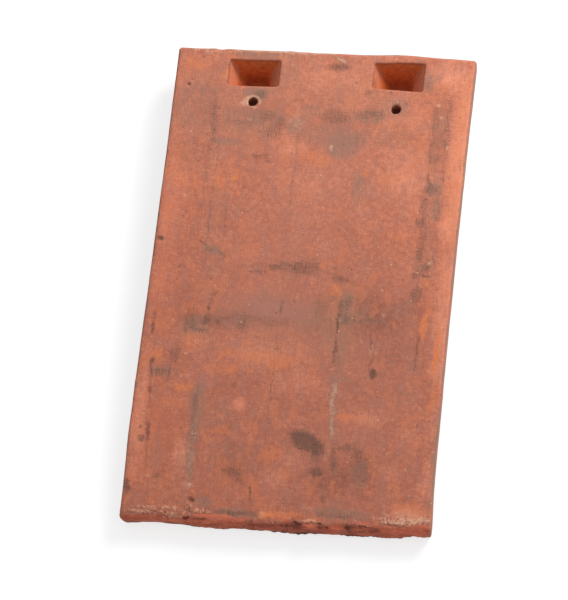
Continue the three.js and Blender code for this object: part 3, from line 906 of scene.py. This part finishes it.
# %% Lime and pale specks
pale_marks = [
    (-41.8, 100.5, 2, 2.6, 0.7), (-40.5, 100.6, 0.6, 2.6, 1.2, 8), (-39, 103.4, 1.7, 0.8, 1.7, 35),
    (-36, 104, 2.2, 0.6, 1.2, -15), (-33.7, 101.8, 0.5, 2, 0.8, 10), (-38, 97.4, 2, 0.6, 0.45, -10),
    (-35.2, 97.8, 1.2, 0.6, 0.7, 30), (67, -124.4, 9, 0.9, 1.1), (57, -125.4, 4.5, 0.6, 0.4),
    (68, -122, 12, 2, 0.35), (7, 129, 4.5, 0.7, 0.9, -25), (-30, 130.9, 22, 0.5, 0.7),
    (-12, 131.2, 16, 0.4, 0.5), (8.6, 76.8, 1.1, 1.8, 0.9, 25), (-65, 129, 1.3, 1.8, 0.6),
    (-46.5, -114, 3, 1.6, 0.5), (-38, 91, 1.2, 0.8, 0.5), (68, 15, 0.9, 1.3, 0.75),
    (71.3, 81, 0.7, 0.9, 0.9), (64.3, 105.5, 1, 0.6, 1.3), (66, 98, 0.7, 0.6, 0.7),
    (-75.7, -36, 0.6, 0.6, 0.8), (-67.5, 44.3, 0.8, 0.8, 0.7), (24.1, -19.2, 0.6, 1, 0.5),
    (42.3, -32.6, 0.7, 1.6, 0.8, 10), (41.6, -35.4, 0.7, 1.2, 0.7, -30), (44.4, -36, 0.7, 1, 0.6, 30),
    (-56.3, -43.6, 1.3, 0.8, 0.8, -20), (-53.5, -55.6, 1.3, 0.6, 0.6), (-52, -37.5, 2, 0.8, 0.6, -15),
    (79, -94.6, 0.8, 0.8, 1.3), (66, -97.4, 0.8, 0.7, 0.7), (69, -111, 0.6, 0.6, 0.7),
    (-26, -59, 0.8, 0.6, 0.6), (-68.5, -111.5, 1.2, 0.6, 0.7), (46, -15.5, 0.8, 0.8, 0.6),
    (36.5, -30, 1.1, 0.9, 0.5), (-65, -128.1, 5, 0.5, 0.5), (-54.5, -127, 5, 0.7, 0.5),
    (-53.6, -130.8, 3.4, 1.3, 0.6), (-71, -130.2, 3.4, 1.3, 0.5), (-39, -127, 3.5, 1, 0.4),
    (18.8, -127.7, 3, 0.4, 0.9), (-5.8, -127.2, 1.8, 1.4, 0.35), (-11, 92, 5, 7, 0.3),
    (25, -62, 1.4, 11, 0.55), (26, -76, 1, 9, 0.45), (-47, -92, 1.6, 18, 0.3), (-54, -38, 7, 4, 0.12),
    (67, 13, 3, 3, 0.15), (65, -125, 5.4, 0.8, 1), (76, -123.4, 6, 0.9, 1.6, 6),
]
pale_below = [
    (-20, -104, 15, 2.2, 0.8, 4), (27, -101, 9, 1.6, 0.7, -3), (-67, -60, 2.6, 14, 0.6, 2),
    (69, 58, 2.2, 10, 0.6, -3), (8, -12, 5, 3.5, 0.5, 30),
]
lay_marks("pale", pale_marks, pale_below)

# %% Crumbled arris
crumbly_marks = [
    (-62, -127.3, 14, 0.9, 0.8), (-67, -130, 11, 1, 0.9), (-53, -131.6, 6, 1.7, 0.9),
    (-39, -127.6, 6, 1.2, 0.7), (4, -131, 8, 1.6, 0.4), (20, -128.6, 7, 0.9, 0.6), (48, -128, 10, 1, 0.5),
    (66, -124.9, 13, 1.6, 1), (79, -123.4, 5, 1.4, 0.9), (70, -128.6, 12, 0.8, 0.4),
    (-45.6, -127, 2.4, 3.6, 0.5), (-60, 129.5, 20, 1.2, 0.5),
]
lay_marks("crumbly", crumbly_marks)

# %% Scars of the torn tail
scar_marks = [
    (-46, -131.9, 1.4, 0.8, 1.3), (-40, -132.4, 3.4, 0.8, 0.5), (-35, -132, 3, 0.5, 0.3, -4),
    (-64, -129, 3.6, 0.4, 0.6), (-57.2, -129.4, 0.7, 0.5, 0.7), (-69.2, -131.2, 0.7, 0.5, 0.7),
    (-11.4, -131.6, 0.7, 2.6, 0.45, -8), (-15, -131, 0.6, 1.8, 0.35, -8), (-4.5, -132.3, 6, 1.5, 0.4),
    (4.8, -132.6, 0.7, 0.6, 0.8), (7.6, -132, 0.8, 0.6, 0.8), (10.6, -127.8, 0.6, 1.6, 0.4, 20),
    (13.2, -129.8, 2.4, 1, 0.9, -6), (14, -131.4, 5, 0.8, 0.4), (22.5, -128.8, 2.6, 0.4, 0.6),
    (24.7, -129, 0.9, 0.6, 1.2), (28.5, -131, 1, 0.5, 0.8), (39.8, -130.4, 1.2, 0.9, 1),
    (39.4, -128.6, 1.2, 1.8, 0.4), (48, -129.1, 4.2, 0.4, 0.7), (53.5, -130.6, 3, 1.3, 0.45),
    (62.6, -126.4, 4, 0.5, 0.6), (46, -125.3, 3, 0.4, 0.4), (-30, -128.4, 12, 0.4, 0.25),
    (-74, -50, 0.9, 3, 0.4), (-73.2, -64.5, 1.1, 2.6, 0.4, 5), (-71.5, -87, 1.2, 5, 0.35, 3),
    (-76, -31, 0.8, 5, 0.35), (-55, 18.2, 2.2, 0.8, 0.35, -15), (-38.5, -22.5, 3, 1, 0.2),
]
lay_marks("scar", scar_marks)

# %% Rolls of the torn tail
roll_marks = [
    (-37, -130.2, 5.5, 1.2, 1.2), (-26, -130, 11, 1, 1.1, -1), (-35.8, -133.6, 2.6, 0.8, 1.1),
    (-24, -132.4, 7, 1, 0.35), (-17, -130.4, 5, 0.8, 0.6), (5.5, -129.2, 4.5, 0.8, 0.9, -4),
    (-6, -130.4, 5, 0.6, 0.5), (19, -130.4, 4, 0.8, 0.7), (33.4, -130.6, 4.4, 1.5, 0.9),
    (47, -127.6, 5, 0.7, 0.9), (64, -128.4, 10, 0.8, 0.9), (68, -130.4, 14, 1.4, 0.7),
    (76, -127.4, 6, 1.6, 0.9), (47, -131.2, 4, 0.8, 0.5), (-66, -132.8, 10, 0.8, 0.5),
]
lay_marks("roll", roll_marks)

# %% [markdown]
# ## What the colour of an old tile is made of
#
# Terracotta is never one red. The clay itself turns from salmon to brick red with the heat of the kiln.
# Over it lie, in this order: orange blooms where the skin wore thin, a grey film of lichen, black soot,
# pale lime and dark pores. Each layer is a mask, and each mask mixes a new colour over what is there.
#
# Two kinds of mask repeat, so they are node groups. `broken_mark` takes a mark and breaks its rim and its
# middle up with noise. `specks` scatters dots: a Voronoi texture splits space into cells, each cell has
# one point, and the cell's own random colour decides whether it gets a dot and how big it is.

# %% Helpers for groups and noise
def new_group(name, inputs):
    """A node group that puts out one mask, and its input and output nodes."""
    group = bpy.data.node_groups.new(name, "ShaderNodeTree")
    for socket, kind in inputs.items():
        group.interface.new_socket(socket, in_out="INPUT", socket_type="NodeSocket" + kind)
    group.interface.new_socket("Mask", in_out="OUTPUT", socket_type="NodeSocketFloat")
    return group, group.nodes.new("NodeGroupInput").outputs, group.nodes.new("NodeGroupOutput").inputs


def place_group(tree, group, inputs):
    """Puts a node group into a tree, fills its inputs and gives its mask."""
    return add(tree, "ShaderNodeGroup", inputs, node_tree=group).outputs["Mask"]


def between(tree, value, low, high, to_low=0.0, to_high=1.0):
    """A smooth ramp from `to_low` at `low` to `to_high` at `high`."""
    inputs = {"Value": value, "From Min": low, "From Max": high, "To Min": to_low, "To Max": to_high}
    node = add(tree, "ShaderNodeMapRange", inputs, interpolation_type="SMOOTHSTEP", clamp=False)
    return node.outputs["Result"]


def noise_of(tree, place, size, detail=2.0, roughness=0.5, stretch=None):
    """Noise with bumps of about that size, stretched along the axes if `stretch` says so."""
    if stretch is not None:
        scale = [1 / length for length in stretch]
        place = add(tree, "ShaderNodeMapping", {"Vector": place, "Scale": scale}).outputs[0]
    inputs = {"Vector": place, "Scale": 1 / size, "Detail": detail, "Roughness": roughness}
    return add(tree, "ShaderNodeTexNoise", inputs).outputs["Fac"]


# %% Broken mark
solid_from = 0.85  # a mark of this strength covers its whole middle
mark_inputs = {"Mark": "Float", "Noise": "Float", "Grain": "Float", "Raggedness": "Float"}
broken_mark, given, wanted = new_group("broken_mark", mark_inputs)
ragged = arithmetic(broken_mark, "SUBTRACT", given["Noise"], 0.5)
ragged = arithmetic(broken_mark, "MULTIPLY", ragged, given["Raggedness"])
inside = between(broken_mark, arithmetic(broken_mark, "ADD", given["Mark"], ragged), 0.0, solid_from)
# a strong mark fills the grain that a faint one leaves open
filling = arithmetic(broken_mark, "MULTIPLY", given["Mark"], 0.15)
open_grain = arithmetic(broken_mark, "ADD", given["Grain"], filling)
covered = between(broken_mark, open_grain, 0.47, 0.71, 0.4, 1.05)
broken_mark.links.new(arithmetic(broken_mark, "MULTIPLY", inside, covered), wanted["Mask"])
print(broken_mark.name, "has", len(broken_mark.nodes), "nodes")

# %% Specks
smallest_share = 0.4  # of the given size
dot_rim = 0.45
speck_inputs = {"Place": "Vector", "Spacing": "Float", "Size": "Float", "Share": "Float"}
specks, given, wanted = new_group("specks", speck_inputs)
scale = arithmetic(specks, "DIVIDE", 1.0, given["Spacing"])
cells = add(specks, "ShaderNodeTexVoronoi", {"Vector": given["Place"], "Scale": scale}).outputs
distance = arithmetic(specks, "MULTIPLY", cells["Distance"], given["Spacing"])
chance = add(specks, "ShaderNodeSeparateColor", {0: cells["Color"]}).outputs
size_share = arithmetic(specks, "ADD", chance[1], smallest_share)
own_size = arithmetic(specks, "MULTIPLY", given["Size"], size_share)
share_out = arithmetic(specks, "DIVIDE", distance, own_size)
dot = arithmetic(specks, "SUBTRACT", 1.0, share_out, clamp=True)
dot = between(specks, dot, 0.0, dot_rim)
chosen = arithmetic(specks, "LESS_THAN", chance[0], given["Share"])
specks.links.new(arithmetic(specks, "MULTIPLY", dot, chosen), wanted["Mask"])
print(specks.name, "has", len(specks.nodes), "nodes")

# %% Coordinates in millimetres
noise_range = (0.3, 0.7)  # where most of a noise lies
clay = bpy.data.materials.new("weathered_clay")
clay.use_nodes = True
tree = clay.node_tree
tree.nodes.clear()
object_place = add(tree, "ShaderNodeTexCoord").outputs["Object"]
in_mm = {"Vector": object_place, "Scale": (1 / mm, 1 / mm, 1 / mm)}
place = add(tree, "ShaderNodeMapping", in_mm).outputs[0]
mottle = noise_of(tree, place, 2.6, detail=4.0, roughness=0.62)
fine = noise_of(tree, place, 0.75, detail=3.0, roughness=0.6)
broad = noise_of(tree, place, 16.0, detail=3.0)
uneven = arithmetic(tree, "MULTIPLY_ADD", mottle, 0.6, arithmetic(tree, "MULTIPLY", fine, 0.4))
drawn = noise_of(tree, place, 1.0, detail=3.0, roughness=0.6, stretch=(0.7, 6.0, 6.0))
crossed = noise_of(tree, place, 1.0, detail=3.0, roughness=0.6, stretch=(4.0, 0.8, 4.0))
hatch = arithmetic(tree, "MAXIMUM", drawn, crossed)
print("coordinates and noise:", len(tree.nodes), "nodes")


# %% Shorthand for this material
def attribute(name):
    """One of the numbers that were written on the mesh."""
    return add(tree, "ShaderNodeAttribute", attribute_name=name).outputs["Fac"]


def plus(value, more):
    """Their sum."""
    return arithmetic(tree, "ADD", value, more)


def times(value, by):
    """Their product."""
    return arithmetic(tree, "MULTIPLY", value, by)


def marks_of(mark, grain, raggedness, rim=uneven):
    """The mask of one kind of mark, with its rims broken up."""
    inputs = {"Mark": mark, "Noise": rim, "Grain": grain, "Raggedness": raggedness}
    return place_group(tree, broken_mark, inputs)


def dots_of(mark, spacing, size, everywhere, in_marks):
    """Dots all over, and many more of them where there is a mark."""
    share = arithmetic(tree, "MULTIPLY_ADD", mark, in_marks, everywhere)
    return place_group(tree, specks, {"Place": place, "Spacing": spacing, "Size": size, "Share": share})


def two_stop_ramp(value, low, low_colour, high, high_colour):
    """A colour ramp from one colour to another."""
    ramp = add(tree, "ShaderNodeValToRGB", {0: value})
    ends = ramp.color_ramp.elements
    ends[0].position, ends[0].color = low, low_colour
    ends[1].position, ends[1].color = high, high_colour
    return ramp


# %% [markdown]
# ## The clay itself
#
# A tone from 0 to 1 runs over the tile. It is lighter at the head and along the smooth margins, and
# darker across the middle, which lay open to the weather. Its rise towards the head is partly that
# weather and partly painted light from the softbox's side. Noise at three sizes makes it uneven, and a
# colour ramp turns it into clay. Fine ridges from the die run along the tile, so part of the noise is
# drawn out along y.

# %% Tone
mark_contrast = 0.32  # how far the lighter and the darker marks move the tone
mottle_contrast, hatch_contrast, fine_contrast = 0.1, 0.035, 0.08
light = between(tree, attribute("light"), 0.0, 0.8)
dark = between(tree, attribute("dark"), 0.0, 0.8)
tone = between(tree, broad, 0.3, 0.72, 0.45, 0.55)
spot = add(tree, "ShaderNodeSeparateXYZ", {0: place}).outputs
# partly painted light: the tone rises a little towards the head, the softbox's side, and partly weathering
tone = plus(tone, between(tree, spot["Y"], -140.0, 140.0, -0.05, 0.06))
tone = plus(tone, times(light, mark_contrast))
tone = arithmetic(tree, "SUBTRACT", tone, times(dark, mark_contrast))
tone = plus(tone, between(tree, mottle, *noise_range, -mottle_contrast, mottle_contrast))
tone = plus(tone, between(tree, hatch, 0.4, 0.75, hatch_contrast, -hatch_contrast))
tone = plus(tone, between(tree, fine, 0.25, 0.75, -fine_contrast, fine_contrast))
ramp = two_stop_ramp(tone, 0.0, colour(118, 66, 50), 1.0, colour(248, 160, 126))
ramp.color_ramp.elements.new(0.5).color = colour(185, 109, 85)
fired = ramp.outputs["Color"]
print("with its tone:", len(tree.nodes), "nodes")

# %% Hue
clay_orange, clay_brown = colour(208, 120, 82), colour(172, 114, 98)
drift = noise_of(tree, place, 1.0, detail=2.0, roughness=0.6, stretch=(6.0, 11.0, 6.0))
fired = mix_colours(tree, between(tree, drift, 0.5, 0.7, 0.0, 0.5), fired, clay_orange)
fired = mix_colours(tree, between(tree, drift, 0.5, 0.3, 0.0, 0.45), fired, clay_brown)
# kind of mark, how much of its colour shows, and that colour
hues = [
    ("rosy", 1.0, colour(174, 115, 98)),
    ("ruddy", 0.4, colour(206, 110, 77)),
    ("dusty", 0.32, colour(176, 128, 101)),
]
for name, share, paint in hues:
    fired = mix_colours(tree, between(tree, attribute(name), 0.0, 0.9, 0.0, share), fired, paint)
print("with its hues:", len(tree.nodes), "nodes")

# %% [markdown]
# ## Sides, tail and underside
#
# The other places of the tile are plainer than its weather face, and each has a colour of its own: a
# redder and rougher tail, grey dirt on the sides, and a sandy underside. The attributes written on the
# mesh say where each place is, so no edge between two colours has to be drawn.

# %% Sides and underside
on_pocket, on_under, on_tail, on_side = (attribute(name) for name in ("pocket", "under", "tail", "side"))
down = attribute("depth")
side_share = between(tree, broad, 0.35, 0.6)
side_tone = mix_colours(tree, side_share, colour(182, 110, 88), colour(150, 112, 98))
sand = noise_of(tree, place, 0.9, detail=3.0, roughness=0.7)
sand_share = between(tree, sand, 0.35, 0.65)
under_tone = mix_colours(tree, sand_share, colour(176, 108, 84), colour(204, 140, 110))
damp_share = between(tree, broad, 0.5, 0.7, 0.0, 0.6)
under_tone = mix_colours(tree, damp_share, under_tone, colour(158, 100, 80))
print("with sides and underside:", len(tree.nodes), "nodes")

# %% Tail
left_end, middle, right_of_middle, right_end = -70.0, 25.0, 42.0, 64.0  # mm; the tail's face is darkest round the middle and lighter towards its ends, and the lighter left end is partly painted light
torn_tone = plus(tone, between(tree, spot["X"], left_end, middle, 0.34, 0.04))
torn_tone = plus(torn_tone, between(tree, spot["X"], right_of_middle, right_end, 0.0, 0.2))
torn = two_stop_ramp(torn_tone, 0.1, colour(84, 34, 26), 0.9, colour(218, 116, 84))
tail_tone = mix_colours(tree, between(tree, drift, 0.4, 0.6), torn.outputs["Color"], colour(176, 84, 60))
# painted highlight on the raised rolls of the torn face and painted shade in its hollows, both read from
# the relief
ridge_highlight = between(tree, attribute("ridge"), 0.05, 0.7, 0.0, 0.5)
tail_tone = mix_colours(tree, ridge_highlight, tail_tone, colour(214, 118, 88))
crevice_shade = between(tree, attribute("crevice"), 0.05, 0.8, 0.0, 0.7)
tail_tone = mix_colours(tree, crevice_shade, tail_tone, colour(92, 38, 28))
torn_edge = plus(on_tail, uneven)
coat = mix_colours(tree, between(tree, torn_edge, 0.8, 1.1), fired, tail_tone)
coat = mix_colours(tree, on_side, coat, side_tone)
coat = mix_colours(tree, on_under, coat, under_tone)
print("with the tail:", len(tree.nodes), "nodes")

# %% [markdown]
# ## What the weather laid on it
#
# Bloom, film, soot and lime cover one another in the order in which they came. Each mask is a mark broken
# up by noise of its own grain: soot was smeared both along and across the tile, film ran down it with the
# rain, and lime and bloom sit in single grains, so specks are scattered through them.

# %% Orange bloom
orange, sooty, limed = attribute("orange"), attribute("soot"), attribute("pale")
bloom = times(marks_of(orange, hatch, 2.2), 0.8)
coat = mix_colours(tree, bloom, coat, colour(218, 122, 76))
flecks = dots_of(orange, 1.7, 0.85, everywhere=0.015, in_marks=0.5)
coat = mix_colours(tree, times(flecks, 0.45), coat, colour(222, 136, 90))
print("with the bloom:", len(tree.nodes), "nodes")

# %% Grey film and soot
smear = 1.9  # how ragged film and soot are
smeared = arithmetic(tree, "MULTIPLY_ADD", hatch, 0.6, times(uneven, 0.4))
film = times(marks_of(attribute("film"), drawn, smear, smeared), 0.75)
coat = mix_colours(tree, film, coat, colour(153, 113, 96))
soot = times(marks_of(sooty, smeared, smear, smeared), 0.8)
grains = times(dots_of(sooty, 1.5, 0.55, everywhere=0.015, in_marks=0.5), 0.5)
coat = mix_colours(tree, arithmetic(tree, "MAXIMUM", soot, grains), coat, colour(94, 68, 56))
print("with film and soot:", len(tree.nodes), "nodes")

# %% Lime and pale specks
lime = times(marks_of(limed, hatch, 2.4), 0.55)
small = dots_of(limed, 1.6, 0.5, everywhere=0.014, in_marks=0.6)
pale = arithmetic(tree, "MAXIMUM", lime, times(small, 0.6))
coat = mix_colours(tree, pale, coat, colour(230, 180, 150))
print("with lime:", len(tree.nodes), "nodes")

# %% [markdown]
# ## Crumbs, rolls and scars
#
# Along the tail the skin is gone and the broken clay shows. One noise serves twice there: its high places
# get a painted highlight, as crumbs that catch the light, and its low places a painted shade, as the gaps
# between them. The rolls of the torn face get a lighter clay, partly their redder clay and partly a
# painted highlight on them, and its scars a darker one, painted shade in its notches and grooves and dark
# marks elsewhere.

# %% Crumbled arris
crumbs = noise_of(tree, place, 1.0, detail=3.0, roughness=0.6, stretch=(0.95, 1.3, 1.0))
crumbly = marks_of(attribute("crumbly"), 1.0, 1.2)
# painted highlight on the high places of the crumbled arris, and painted shade in the gaps between them
lit = times(between(tree, crumbs, 0.5, 0.6, 0.0, 0.65), crumbly)
coat = mix_colours(tree, lit, coat, colour(238, 176, 144))
gap_shade = times(between(tree, crumbs, 0.47, 0.38, 0.0, 0.5), crumbly)
coat = mix_colours(tree, gap_shade, coat, colour(122, 64, 48))
print("with crumbs:", len(tree.nodes), "nodes")

# %% Rolls and scars of the tail
# the rolls of the torn tail: partly redder clay, partly painted highlight; the scars: painted shade in its
# notches and grooves, and dark marks on the face
roll_clay_and_highlight = times(marks_of(attribute("roll"), 1.0, 1.2), 0.75)
coat = mix_colours(tree, roll_clay_and_highlight, coat, colour(218, 112, 84))
scar_shade_and_marks = times(marks_of(attribute("scar"), 1.0, 1.0), 0.85)
coat = mix_colours(tree, scar_shade_and_marks, coat, colour(94, 38, 28))
# painted shade: a dark line along the lower rim of the tail's face, just above the underside that shades it
rim_shade_depth = between(tree, down, 9.6, 11.4, 0.0, 0.75)
at_the_tail = between(tree, spot["Y"], -124.0, -128.0)
lower_rim = times(rim_shade_depth, at_the_tail)
lower_rim = times(lower_rim, between(tree, on_under, 0.3, 1.0, 1.0, 0.2))
coat = mix_colours(tree, lower_rim, coat, colour(84, 52, 44))
print("with rolls and scars:", len(tree.nodes), "nodes")

# %% Drag lines
lines = noise_of(tree, place, 1.0, detail=2.0, stretch=(0.75, 55.0, 30.0))
line_share = between(tree, lines, 0.58, 0.75)
lines = times(line_share, between(tree, broad, 0.4, 0.6, 0.0, 0.22))
coat = mix_colours(tree, lines, coat, colour(132, 82, 70))
print("with drag lines:", len(tree.nodes), "nodes")

# %% [markdown]
# ## Pockets and holes
#
# Steel pressed the pockets and pierced the nail holes, and no rain has washed them, so they show fresh
# orange clay. Deeper down it is painted darker and browner, which is painted shade in the recess, and a
# dark band just under each mouth is painted shade under the lip. Only the lip of each pocket is worn,
# and wears the weather face's skin.

# %% Fresh clay
skin_share = 0.55  # how much of the skin's colour the fresh clay takes on at the lip
on_wall = attribute("wall")
fresh_clay_and_shade = mix_colours(tree, between(tree, mottle, *noise_range), colour(212, 112, 54), colour(188, 92, 44))
# painted shade: the fresh clay gets darker and browner with depth in the pockets
fresh_clay_and_shade = mix_colours(tree, between(tree, down, 8.0, 19.0, 0.0, 0.6), fresh_clay_and_shade, colour(148, 74, 34))
fresh_clay_and_shade = mix_colours(tree, on_wall, colour(150, 80, 54), fresh_clay_and_shade)  # the nail holes are a darker brown inside
pressed = mix_colours(tree, skin_share, coat, colour(206, 114, 72))
coat = mix_colours(tree, on_wall, coat, pressed)
skin_tone = mix_colours(tree, on_pocket, coat, fresh_clay_and_shade)
# painted shade: a dark band on the pocket walls just under each mouth, under the lip
mouth_shade = times(on_wall, between(tree, down, 2.0, 0.7, 0.0, 0.7))
skin_tone = mix_colours(tree, mouth_shade, skin_tone, colour(122, 62, 44))
print("with fresh clay:", len(tree.nodes), "nodes")

# %% [markdown]
# ## A dry and sandy surface
#
# Unglazed clay hardly shines, so its roughness is high all over. Its grain is finer than the mesh: a Bump
# node tilts the light on it without moving any point. The same masks that colour the crumbs, the soot
# grains and the lime also raise or sink them, so that colour and relief agree.

# %% Relief too fine for the mesh
grain_height = 0.5 * mm
grain = plus(times(fine, 0.4), times(mottle, 0.4))
grain = plus(grain, times(times(crumbs, crumbly), 1.5))
grain = plus(grain, times(drawn, 0.3))
grain = arithmetic(tree, "SUBTRACT", grain, times(grains, 0.6))
grain = plus(grain, times(small, 0.2))
bump = add(tree, "ShaderNodeBump", {"Height": grain, "Strength": 0.6, "Distance": grain_height})
roughness = between(tree, mottle, *noise_range, 0.8, 0.95)
print("with its grain:", len(tree.nodes), "nodes")

# %% The clay's shader
inputs = {"Base Color": skin_tone, "Roughness": roughness, "Normal": bump.outputs[0]}
body = add(tree, "ShaderNodeBsdfPrincipled", inputs)
add(tree, "ShaderNodeOutputMaterial", {"Surface": body.outputs[0]})
tile.data.materials.clear()
tile.data.materials.append(clay)
print("the clay takes", len(tree.nodes), "nodes")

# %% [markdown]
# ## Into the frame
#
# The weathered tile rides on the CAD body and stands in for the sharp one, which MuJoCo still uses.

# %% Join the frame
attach(tile, "root")
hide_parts("clay_tile")
print(tile.name, "rides on root")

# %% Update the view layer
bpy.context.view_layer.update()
